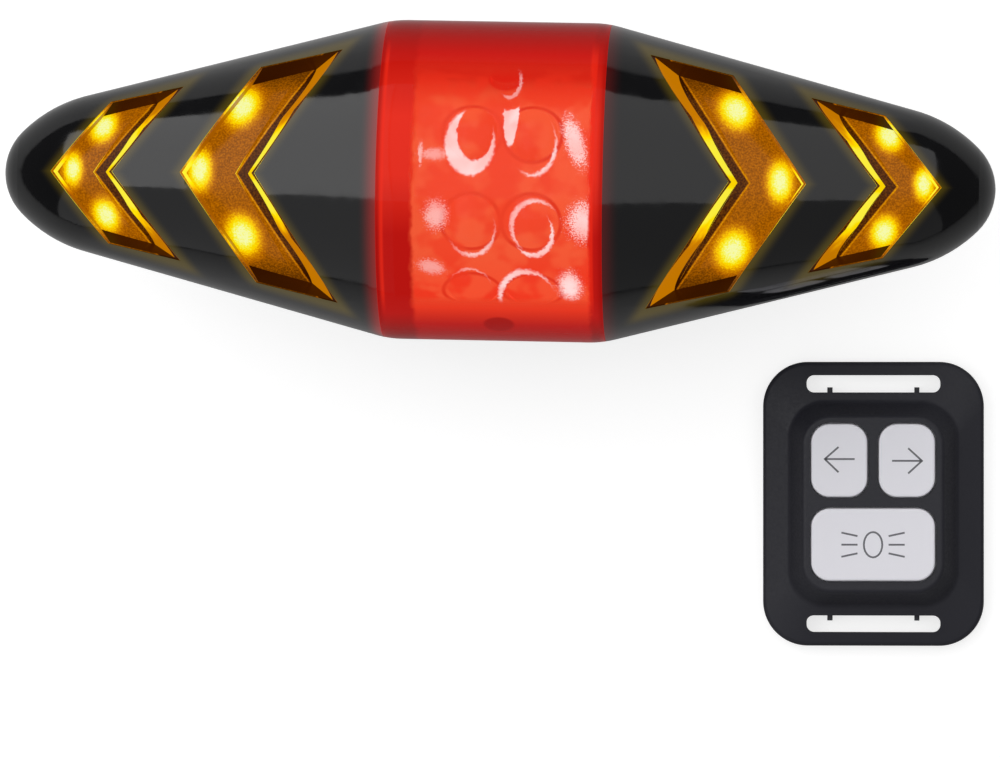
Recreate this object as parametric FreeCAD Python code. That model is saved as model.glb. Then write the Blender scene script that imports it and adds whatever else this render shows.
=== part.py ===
import FreeCAD, Part
import math
import os
from FreeCAD import Vector

# Bicycle tail light with turn signals, its seat post bracket and its remote control.
# Millimetres. The set lies on its backs on z = 0, light and buttons facing +Z,
# with the light's long axis along X. The origin is under the middle of the set.

os.makedirs("parts", exist_ok=True)

# Outer form of the light
light_length = 170.0
body_radius = 27.35
cone_start = 18.3
cone_end_radius = 12.37
belt_radius = 17.7
nose_radius = 10.0
shoulder_radius = 24.0
back_flatness = 0.62
shell_wall = 2.4
back_pad_depth = 17.4
back_pad_half = 16.0
back_pad_height = 8.0

# Place of the remote in the set, from the light's axis
remote_x = 65.05
remote_drop = 54.4
remote_turn = 1.17

# Clearances
fit_gap = 0.05
slip_gap = 0.1
loose_gap = 0.3
button_gap = 0.2
screw_room = 0.2
touch_gap = 0.02

# How far a cutting shape runs past what it cuts
over = 1.0
through = 60.0

# Red lens and optics
lens_half_width = 19.0
lens_wall = 2.0
lens_lip = 1.8
optics_radius = 22.0
optics_wall = 1.2
optics_half_width = 15.5
optics_shift = 1.8
dome_radius = 4.9
dome_height = 2.3
dome_row_angles = (20.0, -20.0, -60.0)
dome_spacing = 10.2
dome_sink = 0.7
dome_skirt = 1.2
dome_bore_inset = 0.6
laser_angles = (50.0, -82.0)
laser_radius = 2.75
laser_length = 9.6
laser_window_radius = 2.6
laser_window_rise = 1.2
sleeve_wall = 1.2
sleeve_sink = 0.5
web_lap = 0.2
web_reach = 2.0
optics_foot_gap = 0.2
facet_apothem = 14.5
board_thickness = 1.0
facet_upper_reach = 18.0
facet_lower_reach = 10.0
red_led_size = 3.5
red_led_height = 1.4
red_led_lens = 1.4
red_led_lens_sink = 0.3

# Bulkheads that carry the lens
bulkhead_thickness = 2.2
collar_gap = 0.35
collar_thickness = 2.4
rail_height = 4.0
rail_foot_gap = 0.15
rail_crown_gap = 0.35

# Chevron windows: tip, notch, leading end and trailing end along X, end angle, depth
inner_window = (53.0, 40.0, 40.2, 26.1, 58.4, 3.4)
outer_window = (75.8, 64.9, 66.0, 53.4, 55.3, 2.8)
window_tip_lean = 0.4
window_notch_lean = 1.0
window_end_lean = 2.2
amber_sink = 0.15
amber_wall = 0.8
amber_rim = 0.35
amber_flange = 1.2
amber_flange_thickness = 0.8
ledge_share = 0.88
ledge_width = 2.2
ledge_depth = 0.6
ledge_rise = 0.2
window_cut_share = 0.8
amber_led_places = ((42.2, 11.5), (49.8, 0.0), (42.2, -11.5), (67.3, 8.0), (73.0, 0.0), (67.3, -8.0))
amber_led_size = 2.0
amber_led_height = 1.0
wing_board_x = (34.0, 75.0)
wing_board_half_widths = (14.5, 7.5)
wing_board_level = 8.6
wing_post_places = ((36.5, 9.0), (36.5, -9.0), (70.0, 0.0))
wing_post_radius = 2.0

# Housing screws
belt_screw = (24.0, 17.0)
nose_screw_x = 79.0
post_radius = 2.6
boss_radius = 3.2
nose_post_radius = 2.2
screw_radius = 1.1
screw_head_radius = 2.1
screw_head_height = 1.6
screw_cross_length = 2.6
screw_cross_width = 0.6
screw_cross_depth = 0.7
screw_hole_room = 0.5
nose_boss_radius = 2.8
belt_screw_seat = 5.0
belt_screw_reach = 6.0
nose_screw_seat = 2.6
nose_screw_reach = 4.0

# Seal
seal_inset = 0.8
seal_width = 0.9
seal_height = 0.8

# Cell, cradle and main circuit board
cell_length = 44.0
cell_width = 24.0
cell_height = 8.0
cell_corner = 2.0
cell_floor = -11.3
cradle_wall = 1.2
cradle_bar_x = 17.0
cradle_bar_width = 3.0
cradle_bar_lap = 0.5
cell_rib_x = 14.0
cell_rib_thickness = 1.6
board_level = -1.8
main_board_thickness = 1.6
main_board_half_length = 20.5
main_board_low = -10.4
main_board_high = 15.5
port_x = -12.0
port_tongue_width = 10.0
port_tongue_end = -23.8
port_width = 7.6
port_depth = 5.4
port_height = 2.6
port_mouth = 24.9
port_hole_inner = 20.0
port_room = 0.2
port_wall = 0.35
port_back_wall = 1.0
contact_width = 5.2
contact_thickness = 0.7
contact_front = 0.6
contact_back = 0.8
radio_length = 12.0
radio_width = 14.0
radio_height = 2.0
radio_board_thickness = 0.8
radio_can_inset = 1.0
antenna_length = 2.0
radio_x = 12.0

# Chips on the main board: middle along X and Y, length, width, height
board_chips = ((-12.5, -0.5, 7.0, 7.0, 1.1), (-3.0, 8.5, 4.0, 5.0, 1.0), (-0.5, -6.5, 7.0, 3.0, 1.6))

# Ribbons from the main board to the amber boards
ribbon_width = 6.0
ribbon_thickness = 0.3
ribbon_lap = 2.0
ribbon_flat = 1.5
ribbon_landing = 2.5

# Power button and switch
button_radius = 3.0
button_level = -4.0
button_proud = 26.6
button_flange = 0.8
button_seat = 20.7
button_flange_thickness = 0.9
power_travel = 0.6
button_edge = 0.6
button_hub_wall = 2.0
button_hub_length = 10.0
button_joint_gap = 0.2
switch_width = 6.0
switch_depth = 4.4
switch_height = 4.0
switch_gap = 0.2
plunger_radius = 1.2
plunger_gap = 0.25

# Port cover
cover_width = 14.0
cover_bottom = -7.4
cover_top = -0.9
cover_thickness = 1.2
cover_gap = 0.15
cover_hinge_room = 1.6
cover_inner_y = 15.0

# Quick release rail and seat post bracket
rail_neck = 8.0
rail_head = 11.0
rail_half_length = 14.9
rail_head_thickness = 2.0
bracket_half_width = 17.5
bracket_half_length = 17.0
bracket_lip = 1.7
bracket_floor = 1.6
bracket_back_wall = 2.0
bracket_edge = 1.2
post_radius_clamp = 15.8
saddle_angle = 60.0
saddle_thickness = 1.5
saddle_inset = 1.0
grip_depth = 0.6
grip_width = 1.0
grip_pitch = 4.2
grip_pairs = 3
ear_length = 7.0
ear_thickness = 3.5
ear_level = 3.0
ear_inset = 3.0
ear_corner = 2.5
strap_slot_width = 3.2
strap_slot_length = 22.0
strap_slot_corner = 1.2
strap_slot_inset = 1.4

# Remote control
remote_width = 38.6
remote_length = 49.7
remote_corner = 7.8
remote_edge_low = 1.0
remote_edge_high = 3.6
remote_edge_round = 0.9
remote_shoulder_level = 5.4
remote_shoulder_round = 1.2
remote_top = 9.6
remote_top_round = 0.9
plateau_width = 24.4
plateau_length = 30.6
plateau_corner = 5.0
boss_run_x = 2.4
boss_run_y = 2.5
boss_corner = 6.0
boss_skin = 0.6
remote_wall = 1.5
slot_inset = 3.85
slot_length = 23.4
slot_width = 3.0
slot_corner = 1.3
nub_x = 7.6
nub_size = 0.9
nub_root = 0.2
nub_rise = 0.6
cavity_corner = 4.0
cavity_step = 1.1

# Keys on the plateau
key_top = 10.3
key_gap = 2.0
key_side_border = 1.45
key_upper_border = 1.3
key_lower_border = 2.0
key_split_y = 0.3
key_corner = 3.2
key_edge = 0.35
key_flange = 0.6
key_flange_thickness = 0.8
key_travel = 0.5

# Remote's bottom case, cell, board and battery cover
bottom_case_side = 1.4
bottom_case_inset = 0.8
bottom_case_corner = 4.5
bottom_case_height = 2.8
bottom_case_floor = 1.2
rim_gap = 0.8
rim_wall = 1.1
rim_corner = 3.2
rim_inner_corner = 2.4
coin_radius = 10.0
coin_height = 3.2
coin_level = 1.5
coin_step = 0.8
coin_step_inset = 1.0
board_side_gap = 0.4
remote_board_corner = 3.0
remote_board_level = 4.95
remote_board_thickness = 0.6
board_hole_radius = 0.6
membrane_inset = 0.2
membrane_thickness = 0.5
dome_switch_radius = 2.2
dome_switch_top_radius = 1.3
contact_half = 3.0
contact_sheet = 0.2
contact_foot = 0.8
cover_margin = 2.0
cover_rim_margin = 0.9
cover_rim_wall = 0.7
cover_rim_height = 0.8
cover_plate = 1.2
coin_slot_length = 12.0
coin_slot_width = 1.8
coin_slot_depth = 0.6
remote_screw_inset_x = 2.7
remote_screw_inset_y = 2.6
remote_screw_radius = 0.8
remote_screw_head = 1.5
remote_screw_head_height = 0.9
remote_screw_sink = 0.3
remote_screw_length = 3.0
remote_screw_slot_length = 2.0
remote_screw_slot_width = 0.4
remote_screw_slot_depth = 0.4

# Heights that follow from the stack of bracket, rail and back pad
post_axis_z = -post_radius_clamp * math.cos(math.radians(saddle_angle))
groove_radius = post_radius_clamp + saddle_thickness
groove_top = post_axis_z + groove_radius
slot_floor = groove_top + bracket_floor
rail_head_low = slot_floor + slip_gap
rail_head_high = rail_head_low + rail_head_thickness
slot_ceiling = rail_head_high + slip_gap
bracket_top = slot_ceiling + bracket_lip
pad_level = bracket_top + loose_gap
light_z = pad_level + back_pad_depth

# Slant of the cones, and the place that centres the set on the origin
cone_run = light_length / 2 - nose_radius - cone_start
slope = (body_radius - cone_end_radius) / cone_run
cone_angle = math.degrees(math.atan(slope))
turn = math.radians(remote_turn)
corner_y = remote_length / 2 - remote_corner
corner_x = remote_width / 2 - remote_corner
remote_reach = remote_corner + corner_y * math.cos(turn) + corner_x * math.sin(turn)
light_y = (remote_drop + remote_reach - body_radius) / 2

# Sizes of the remote that follow from its plateau
boss_width = plateau_width + 2 * boss_run_x
boss_length = plateau_length + 2 * boss_run_y
bottom_case_width = boss_width + 2 * bottom_case_side
bottom_case_length = boss_length - 2 * bottom_case_inset
remote_board_width = plateau_width - 2 * (boss_skin + board_side_gap)
remote_board_length = plateau_length - 2 * (boss_skin + board_side_gap)
pocket_width = plateau_width + 2 * slip_gap
pocket_length = plateau_length + 2 * slip_gap
rim_width = pocket_width - 2 * rim_gap
rim_length = pocket_length - 2 * rim_gap
key_width = (plateau_width - key_gap) / 2 - key_side_border
key_seat = remote_top - remote_wall - fit_gap
membrane_top = key_seat - key_flange_thickness - key_travel - fit_gap
cover_radius = coin_radius + cover_margin
cover_rim_radius = coin_radius + cover_rim_margin

x_axis = Vector(1, 0, 0)
y_axis = Vector(0, 1, 0)
z_axis = Vector(0, 0, 1)
origin = Vector(0, 0, 0)


# Helpers
def box(x0, x1, y0, y1, z0, z1):
    return Part.makeBox(x1 - x0, y1 - y0, z1 - z0, Vector(x0, y0, z0))


def prism(points, z0, z1):
    corners = [Vector(x, y, z0) for x, y in points]
    face = Part.Face(Part.makePolygon(corners + corners[:1]))
    return face.extrude(Vector(0, 0, z1 - z0))


def round_box(width, length, corner, z0, z1, x=0.0, y=0.0):
    block = box(x - width / 2, x + width / 2, y - length / 2, y + length / 2, z0, z1)
    upright = [e for e in block.Edges if abs(e.Vertexes[0].Z - e.Vertexes[1].Z) > (z1 - z0) / 2]
    return block.makeFillet(corner, upright)


def rounded_outline(width, length, corner, z):
    plate = round_box(width, length, corner, z, z + over)
    lowest = min(plate.Faces, key=lambda f: f.CenterOfMass.z)
    return lowest.OuterWire


def tapered_block(low, high):
    return Part.makeLoft([rounded_outline(*low), rounded_outline(*high)], True, False)


def place_light(shape):
    shape.translate(Vector(0, light_y, light_z))
    return shape


def place_optics(shape):
    shape.translate(Vector(optics_shift, 0, 0))
    return place_light(shape)


def place_remote(shape):
    shape.rotate(origin, z_axis, remote_turn)
    shape.translate(Vector(remote_x, light_y - remote_drop, 0))
    return shape


def save(name, shape):
    shape.exportStep("parts/" + name + ".step")
    print(name, len(shape.Solids), round(shape.Volume, 1), shape.isValid())


def mirror_x(shape):
    return shape.mirror(origin, x_axis)


def both_ends(shape):
    return [shape, mirror_x(shape)]


# Outer form: cylinder belt, two cones and rounded noses, drawn inset by any wall
def arc_between(centre, radius, start, end):
    mid = (start + end) / 2
    spots = [centre + Vector(math.cos(a), math.sin(a), 0) * radius for a in (start, mid, end)]
    return Part.Arc(*spots).toShape(), spots[0], spots[2]


def half_outline(inset):
    angle = math.radians(cone_angle)
    along = Vector(math.cos(angle), -math.sin(angle), 0)
    out = Vector(math.sin(angle), math.cos(angle), 0)
    knee = Vector(cone_start, body_radius, 0)
    belt_half = cone_start - belt_radius * math.tan(angle / 2)
    belt_centre = Vector(belt_half, body_radius - belt_radius, 0)
    nose_centre = Vector(light_length / 2 - nose_radius, 0, 0)
    reach = (nose_centre - knee).dot(along)
    drop = shoulder_radius - (knee - nose_centre).dot(out)
    run = math.sqrt((shoulder_radius - nose_radius) ** 2 - drop ** 2)
    shoulder_centre = knee + along * (reach - run) - out * shoulder_radius
    meet = nose_centre - shoulder_centre
    meet_angle = math.atan2(meet.y, meet.x)
    upright = math.pi / 2
    belt_arc, belt_start, belt_end = arc_between(belt_centre, belt_radius - inset, upright, upright - angle)
    shoulder, cone_end, nose_start = arc_between(
        shoulder_centre, shoulder_radius - inset, upright - angle, meet_angle)
    nose, nose_start, tip = arc_between(nose_centre, nose_radius - inset, meet_angle, 0.0)
    crown = Vector(0, body_radius - inset, 0)
    return [Part.makeLine(crown, belt_start), belt_arc, Part.makeLine(belt_end, cone_end), shoulder, nose], tip


def form_face(inset):
    edges, tip = half_outline(inset)
    mirrored = [e.mirror(origin, x_axis) for e in edges]
    base = Part.makeLine(tip, Vector(-tip.x, 0, 0))
    wire = Part.Wire(Part.__sortEdges__(edges + mirrored + [base]))
    return Part.Face(wire)


def front_form(inset):
    return form_face(inset).revolve(origin, x_axis, 180)


def back_form(inset):
    squeeze = FreeCAD.Matrix()
    depth = body_radius * back_flatness - inset
    squeeze.scale(1, 1, depth / (body_radius - inset))
    return form_face(inset).revolve(origin, x_axis, -180).transformGeometry(squeeze)


def radius_at(x, inset=0.0):
    lean = math.cos(math.radians(cone_angle))
    return body_radius - (abs(x) - cone_start) * slope - inset / lean


outer_front = front_form(0.0)
inner_front = front_form(shell_wall)
outer_back = back_form(0.0)
inner_back = back_form(shell_wall)


def half_ring(outer, inner, x0, x1):
    ring = Part.makeCylinder(outer, x1 - x0, Vector(x0, 0, 0), x_axis)
    ring = ring.cut(Part.makeCylinder(inner, x1 - x0, Vector(x0, 0, 0), x_axis))
    return ring.common(box(x0, x1, -outer, outer, 0, outer))


# Chevron windows: upright openings in the shell, lined by cups whose walls lean in
def window_plan(window):
    tip, notch, lead, trail, angle, depth = window
    rise = math.sin(math.radians(angle))
    lead_y, trail_y = radius_at(lead) * rise, radius_at(trail) * rise
    upper = [(tip, 0.0), (lead, lead_y), (trail, trail_y), ((trail + notch) / 2, trail_y / 2), (notch, 0.0)]
    return upper + [(x, -y) for x, y in upper[-2:0:-1]]


def floor_plan(window):
    tip, notch, lead, trail, angle, depth = window
    top = window_plan(window)
    lead_share = radius_at(lead, depth) / radius_at(lead)
    trail_share = radius_at(trail, depth) / radius_at(trail)
    lead_x = tip + (lead - tip) * lead_share
    trail_x = notch + (trail - notch) * trail_share + window_end_lean
    notch_x = notch + window_notch_lean
    trail_y = top[2][1] * trail_share
    upper = [(tip - window_tip_lean, 0.0), (lead_x, top[1][1] * lead_share), (trail_x, trail_y),
             ((trail_x + notch_x) / 2, trail_y / 2), (notch_x, 0.0)]
    return upper + [(x, -y) for x, y in upper[-2:0:-1]]


def height_at(x, y, inset):
    return math.sqrt(radius_at(x, inset) ** 2 - y ** 2)


def window_corners(window):
    depth = window[-1]
    top = [(x, y, height_at(x, y, 0.0)) for x, y in window_plan(window)]
    floor = [(x, y, height_at(x, y, depth)) for x, y in floor_plan(window)]
    return top, floor


def window_opening(window, shrink):
    spots = [Vector(x, y, 0) for x, y in window_plan(window)]
    if shrink:
        spots = inset_outline(spots, shrink)
    return Part.Face(Part.makePolygon(spots + spots[:1])).extrude(Vector(0, 0, body_radius + over))


def inset_outline(spots, distance):
    count = len(spots)
    turning = sum(spots[i].x * spots[(i + 1) % count].y - spots[(i + 1) % count].x * spots[i].y
                  for i in range(count))
    inward = distance if turning > 0 else -distance
    moved = []
    for i in range(count):
        before, here, after = spots[i - 1], spots[i], spots[(i + 1) % count]
        first = (here - before).normalize()
        second = (after - here).normalize()
        bisector = Vector(-first.y - second.y, first.x + second.x, 0)
        bisector.normalize()
        stretch = inward / bisector.dot(Vector(-first.y, first.x, 0))
        moved.append(here + bisector * stretch)
    return moved


def lowest_level(window):
    top, floor = window_corners(window)
    return min(spot[2] for spot in floor) * window_cut_share


def window_block(window, shrink):
    top, floor = window_corners(window)
    wires = []
    for level in (body_radius + over, lowest_level(window)):
        spots = []
        for high, low in zip(top, floor):
            share = (high[2] - level) / (high[2] - low[2])
            x = high[0] + (low[0] - high[0]) * share
            y = high[1] + (low[1] - high[1]) * share
            spots.append(Vector(x, y, level))
        if shrink:
            spots = inset_outline(spots, shrink)
        wires.append(Part.makePolygon(spots + spots[:1]))
    return Part.makeLoft(wires, True, True)


def amber_lens(window):
    depth = window[-1]
    skin = front_form(amber_sink).cut(front_form(depth + amber_wall))
    cup = window_opening(window, fit_gap).common(skin).common(window_block(window, -amber_wall))
    seat = front_form(shell_wall + fit_gap).cut(front_form(shell_wall + fit_gap + amber_flange_thickness))
    flange = window_opening(window, -amber_flange).common(seat)
    flange = flange.common(box(0, 2 * through, -through, through, lowest_level(window), through))
    belt, nose = screw_spots()
    for x, y in belt:
        flange = flange.cut(Part.makeCylinder(post_radius + loose_gap, through, Vector(x, y, 0)))
    for x, y in nose:
        flange = flange.cut(Part.makeCylinder(nose_post_radius + loose_gap, through, Vector(x, y, 0)))
    cup = cup.fuse(flange).cut(window_block(window, amber_rim).cut(front_form(depth)))
    floor = floor_plan(window)
    notch_x, end_x, end_y = floor[4][0], floor[2][0], floor[2][1]
    near_y = end_y * ledge_share
    near_x = notch_x + (end_x - notch_x) * ledge_share
    start = amber_rim + fit_gap
    strip = [(notch_x + start, 0), (near_x + start, near_y), (near_x + start + ledge_width, near_y),
             (notch_x + start + ledge_width, 0), (near_x + start + ledge_width, -near_y),
             (near_x + start, -near_y)]
    channel = prism(strip, 0.0, body_radius)
    channel = channel.common(front_form(depth - ledge_rise).cut(front_form(depth + ledge_depth)))
    return cup.cut(channel)


# Front housing
def collar(side):
    near = lens_half_width + fit_gap
    plate = half_ring(body_radius, optics_radius + loose_gap - collar_thickness, near, near + bulkhead_thickness)
    plate = plate.common(front_form(fit_gap))
    shelf_outer = optics_radius + loose_gap
    shelf_start = optics_half_width + side * optics_shift + collar_gap
    shelf = half_ring(shelf_outer, shelf_outer - collar_thickness, shelf_start, near)
    piece = plate.fuse(shelf)
    return piece if side > 0 else mirror_x(piece)


def lens_rail(side):
    inner = optics_radius + rail_foot_gap
    outer = body_radius - lens_wall - rail_crown_gap
    reach = lens_half_width + bulkhead_thickness
    bar = box(-reach, reach, inner, outer, 0, rail_height)
    bar = bar.common(Part.makeCylinder(outer, 2 * reach, Vector(-reach, 0, 0), x_axis))
    if side > 0:
        return bar
    top = optics_radius + laser_window_rise + loose_gap
    window = spoke_cylinder(laser_window_radius + loose_gap, 0, top, laser_angles[1], optics_shift)
    return bar.mirror(origin, y_axis).cut(window)


def screw_spots():
    belt = [(sx * belt_screw[0], sy * belt_screw[1]) for sx in (1, -1) for sy in (1, -1)]
    nose = [(sx * nose_screw_x, 0.0) for sx in (1, -1)]
    return belt, nose


def front_housing():
    band = lens_half_width + fit_gap
    shell = outer_front.cut(inner_front)
    shell = shell.cut(box(-band, band, -body_radius, body_radius, -over, body_radius + over))
    for window in (inner_window, outer_window):
        for block in both_ends(window_opening(window, 0.0)):
            shell = shell.cut(block)
    belt, nose = screw_spots()
    posts = []
    for x, y in belt:
        posts.append(Part.makeCylinder(post_radius, body_radius, Vector(x, y, 0)).common(inner_front))
    for x, y in nose:
        posts.append(Part.makeCylinder(nose_post_radius, body_radius, Vector(x, y, 0)).common(inner_front))
    body = shell.fuse([collar(1), collar(-1), lens_rail(1), lens_rail(-1)] + posts)
    for spots, reach in ((belt, belt_screw_reach), (nose, nose_screw_reach)):
        for x, y in spots:
            hole = Part.makeCylinder(screw_radius + fit_gap, reach + screw_hole_room, Vector(x, y, 0))
            body = body.cut(hole)
    return body


# Red lens with lips that reach in to the collars
def red_lens():
    half = lens_half_width
    cover = outer_front.common(box(-half, half, -body_radius, body_radius, 0, body_radius + over))
    bore = body_radius - lens_wall
    cover = cover.cut(Part.makeCylinder(bore, 2 * half, Vector(-half, 0, 0), x_axis))
    for x0, x1 in ((half - lens_lip, half), (-half, lens_lip - half)):
        lip = half_ring(bore, optics_radius + loose_gap + fit_gap, x0, x1)
        lip = lip.cut(box(x0, x1, -body_radius, body_radius, -over, rail_height + fit_gap))
        cover = cover.fuse(lip)
    return cover


# Optics plate: half ring with six domes, two laser windows and the walls that hold the board
def turned(shape, angle):
    shape.rotate(origin, x_axis, angle)
    return shape


def spoke_cylinder(radius, near, far, angle, x=0.0):
    rod = Part.makeCylinder(radius, far - near, Vector(x, 0, near))
    return turned(rod, -angle)


def dome(x, angle):
    ball_radius = (dome_radius ** 2 + dome_height ** 2) / (2 * dome_height)
    seat = optics_radius - dome_sink
    ball = Part.makeSphere(ball_radius, Vector(x, 0, seat + dome_height - ball_radius))
    cap = ball.common(box(x - dome_radius, x + dome_radius, -dome_radius, dome_radius, seat, seat + through))
    skirt = Part.makeCylinder(dome_radius, dome_skirt, Vector(x, 0, seat - dome_skirt))
    bore = Part.makeCylinder(optics_radius - dome_bore_inset, 2 * through, Vector(-through, 0, 0), x_axis)
    return turned(cap.fuse(skirt).cut(bore), -angle)


# The board folds between its three facets, one behind each row of domes
def board_section(apothem):
    upper, middle, lower = dome_row_angles
    half_turn = math.radians((upper - middle) / 2)
    corner_reach = apothem / math.cos(half_turn)
    upper_end = apothem / math.cos(math.radians(facet_upper_reach))
    lower_end = apothem / math.cos(math.radians(facet_lower_reach))
    outline = [(upper + facet_upper_reach, upper_end), ((upper + middle) / 2, corner_reach),
               ((middle + lower) / 2, corner_reach), (lower - facet_lower_reach, lower_end)]
    spots = []
    for angle, reach in outline:
        lean = math.radians(angle)
        spots.append((reach * math.sin(lean), reach * math.cos(lean)))
    return spots


def board_prism(low, high, x0, x1):
    ring = board_section(high) + list(reversed(board_section(low)))
    corners = [Vector(x0, y, z) for y, z in ring]
    return Part.Face(Part.makePolygon(corners + corners[:1])).extrude(Vector(x1 - x0, 0, 0))


def led_board():
    return board_prism(facet_apothem, facet_apothem + board_thickness, -optics_half_width, optics_half_width)


def optics_plate():
    half = optics_half_width
    plate = half_ring(optics_radius, optics_radius - optics_wall, -half, half)
    pieces = [plate]
    for angle in dome_row_angles:
        for side in (1, -1):
            pieces.append(dome(side * dome_spacing / 2, angle))
    wall_low = facet_apothem + board_thickness + fit_gap
    for x0 in (half - optics_wall, -half):
        web = half_ring(optics_radius - web_lap, wall_low - web_reach, x0, x0 + optics_wall)
        clear = board_prism(over, wall_low, x0, x0 + optics_wall)
        pieces.append(web.cut(clear))
    near = optics_radius - optics_wall - laser_length
    window_low = optics_radius - dome_bore_inset
    window_top = optics_radius + laser_window_rise
    for angle in laser_angles:
        pieces.append(spoke_cylinder(laser_radius + sleeve_wall, near, optics_radius - sleeve_sink, angle))
        pieces.append(spoke_cylinder(laser_window_radius, window_low, window_top, angle))
    body = pieces[0].fuse(pieces[1:])
    for angle in laser_angles:
        bore = spoke_cylinder(laser_radius + fit_gap, near - over, optics_radius - optics_wall, angle)
        body = body.cut(bore)
    floor = box(-half - over, half + over, -body_radius, body_radius, -body_radius, optics_foot_gap)
    return body.cut(floor).cut(board_prism(over, wall_low, -half, half))


def laser_modules():
    far = optics_radius - optics_wall - fit_gap
    return Part.makeCompound([spoke_cylinder(laser_radius, far - laser_length, far, a) for a in laser_angles])


def red_leds():
    leds = []
    half = red_led_size / 2
    seat = facet_apothem + board_thickness
    for angle in dome_row_angles:
        for side in (1, -1):
            x = side * dome_spacing / 2
            led = box(x - half, x + half, -half, half, seat, seat + red_led_height)
            lens = Part.makeSphere(red_led_lens, Vector(x, 0, seat + red_led_height - red_led_lens_sink))
            lens = lens.common(box(x - half, x + half, -half, half, seat + red_led_height / 2, seat + through))
            leds.append(turned(led.fuse(lens), -angle))
    return Part.makeCompound(leds)


# Amber boards in the cones
def tilted(shape, x):
    shape.rotate(Vector(x, 0, wing_board_level), y_axis, cone_angle)
    return shape


def wing_board():
    x0, x1 = wing_board_x
    w0, w1 = wing_board_half_widths
    top = wing_board_level
    plate = prism([(x0, -w0), (x1, -w1), (x1, w1), (x0, w0)], top - board_thickness, top)
    return tilted(plate, amber_led_places[0][0])


def amber_leds():
    half = amber_led_size / 2
    top = wing_board_level
    pivot = amber_led_places[0][0]
    leds = []
    for x, y in amber_led_places:
        led = box(x - half, x + half, y - half, y + half, top, top + amber_led_height)
        leds.append(tilted(led, pivot))
    return leds


def over_wing_board():
    block = box(0, 2 * through, -through, through, wing_board_level - board_thickness, through)
    return tilted(block, amber_led_places[0][0])


# Back housing with screw bosses, board posts, cell ribs, rail and recesses
def rail_solid():
    head_low = rail_head_low - light_z
    head_high = rail_head_high - light_z
    half = rail_half_length
    neck = box(-rail_neck, rail_neck, -half, half, head_low, -back_pad_depth + over)
    head = box(-rail_head, rail_head, -half, half, head_low, head_high)
    return neck.fuse(head)


def back_pad():
    half = back_pad_half
    flat = box(-half, half, -half, half, -back_pad_depth, back_pad_height - back_pad_depth)
    return flat.cut(inner_back)


def cover_block(gap, room):
    half = cover_width / 2 + gap
    low = cover_bottom - gap - room
    return box(port_x - half, port_x + half, -body_radius - over, -cover_inner_y, low, cover_top + gap)


def screw_passage(x, y, seat):
    shank = Part.makeCylinder(screw_radius + screw_room, through, Vector(x, y, -through / 2))
    head = Part.makeCylinder(screw_head_radius + screw_room, through, Vector(x, y, -seat - through))
    return shank.fuse(head)


def back_housing():
    belt, nose = screw_spots()
    extras = [back_pad(), rail_solid()]
    for spots, radius in ((belt, boss_radius), (nose, nose_boss_radius)):
        for x, y in spots:
            boss = Part.makeCylinder(radius, body_radius, Vector(x, y, -body_radius))
            extras.append(boss.common(outer_back))
    above = over_wing_board()
    for x, y in wing_post_places:
        post = Part.makeCylinder(wing_post_radius, through, Vector(x, y, -back_pad_depth)).cut(above)
        low = post.common(outer_back)
        high = post.common(box(0, 2 * through, -through, through, 0, through))
        extras.extend(both_ends(low.fuse(high)))
    half = cell_rib_thickness / 2
    for x in (-cell_rib_x, cell_rib_x):
        extras.append(box(x - half, x + half, -cell_width / 2, cell_width / 2, -back_pad_depth, cell_floor))
    hub_foot = Vector(0, button_seat, button_level)
    hub = Part.makeCylinder(button_radius + button_hub_wall, button_hub_length, hub_foot, y_axis)
    extras.append(hub.common(outer_back))
    body = outer_back.cut(inner_back).fuse(extras)
    for spots, seat in ((belt, belt_screw_seat), (nose, nose_screw_seat)):
        for x, y in spots:
            body = body.cut(screw_passage(x, y, seat))
    hole_foot = Vector(0, cover_inner_y, button_level)
    body = body.cut(Part.makeCylinder(button_radius + button_gap, through, hole_foot, y_axis))
    recess = outer_back.cut(back_form(cover_thickness + fit_gap))
    body = body.cut(recess.common(cover_block(cover_gap, cover_hinge_room)))
    half = port_width / 2 + port_room
    low = board_level - port_height - port_room
    body = body.cut(box(port_x - half, port_x + half, -body_radius, -port_hole_inner, low, board_level))
    return body.cut(seal_ring(fit_gap))


def form_outline(inset):
    edges, tip = half_outline(inset)
    upper = edges + [e.mirror(origin, x_axis) for e in edges]
    lower = [e.mirror(origin, y_axis) for e in upper]
    return Part.Face(Part.Wire(Part.__sortEdges__(upper + lower)))


def seal_ring(gap):
    drop = Vector(0, 0, -seal_height - gap)
    outer = form_outline(seal_inset - gap).extrude(drop)
    return outer.cut(form_outline(seal_inset + seal_width + gap).extrude(drop))


def housing_screws():
    belt, nose = screw_spots()
    half, thin = screw_cross_length / 2, screw_cross_width / 2
    screws = []
    for spots, seat, reach in ((belt, belt_screw_seat, belt_screw_reach), (nose, nose_screw_seat, nose_screw_reach)):
        foot = -seat - screw_head_height
        for x, y in spots:
            shank = Part.makeCylinder(screw_radius, seat + reach, Vector(x, y, -seat))
            head = Part.makeCylinder(screw_head_radius, screw_head_height, Vector(x, y, foot))
            slot = box(x - half, x + half, y - thin, y + thin, foot, foot + screw_cross_depth)
            cross = box(x - thin, x + thin, y - half, y + half, foot, foot + screw_cross_depth)
            screws.append(shank.fuse(head).cut(slot).cut(cross))
    return Part.makeCompound(screws)


# Cell, cradle and main board
def lithium_cell():
    x, y = cell_length / 2, cell_width / 2
    block = box(-x, x, -y, y, cell_floor, cell_floor + cell_height)
    return block.makeFillet(cell_corner, [e for e in block.Edges if abs(e.Vertexes[0].X - e.Vertexes[1].X) > x])


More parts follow.
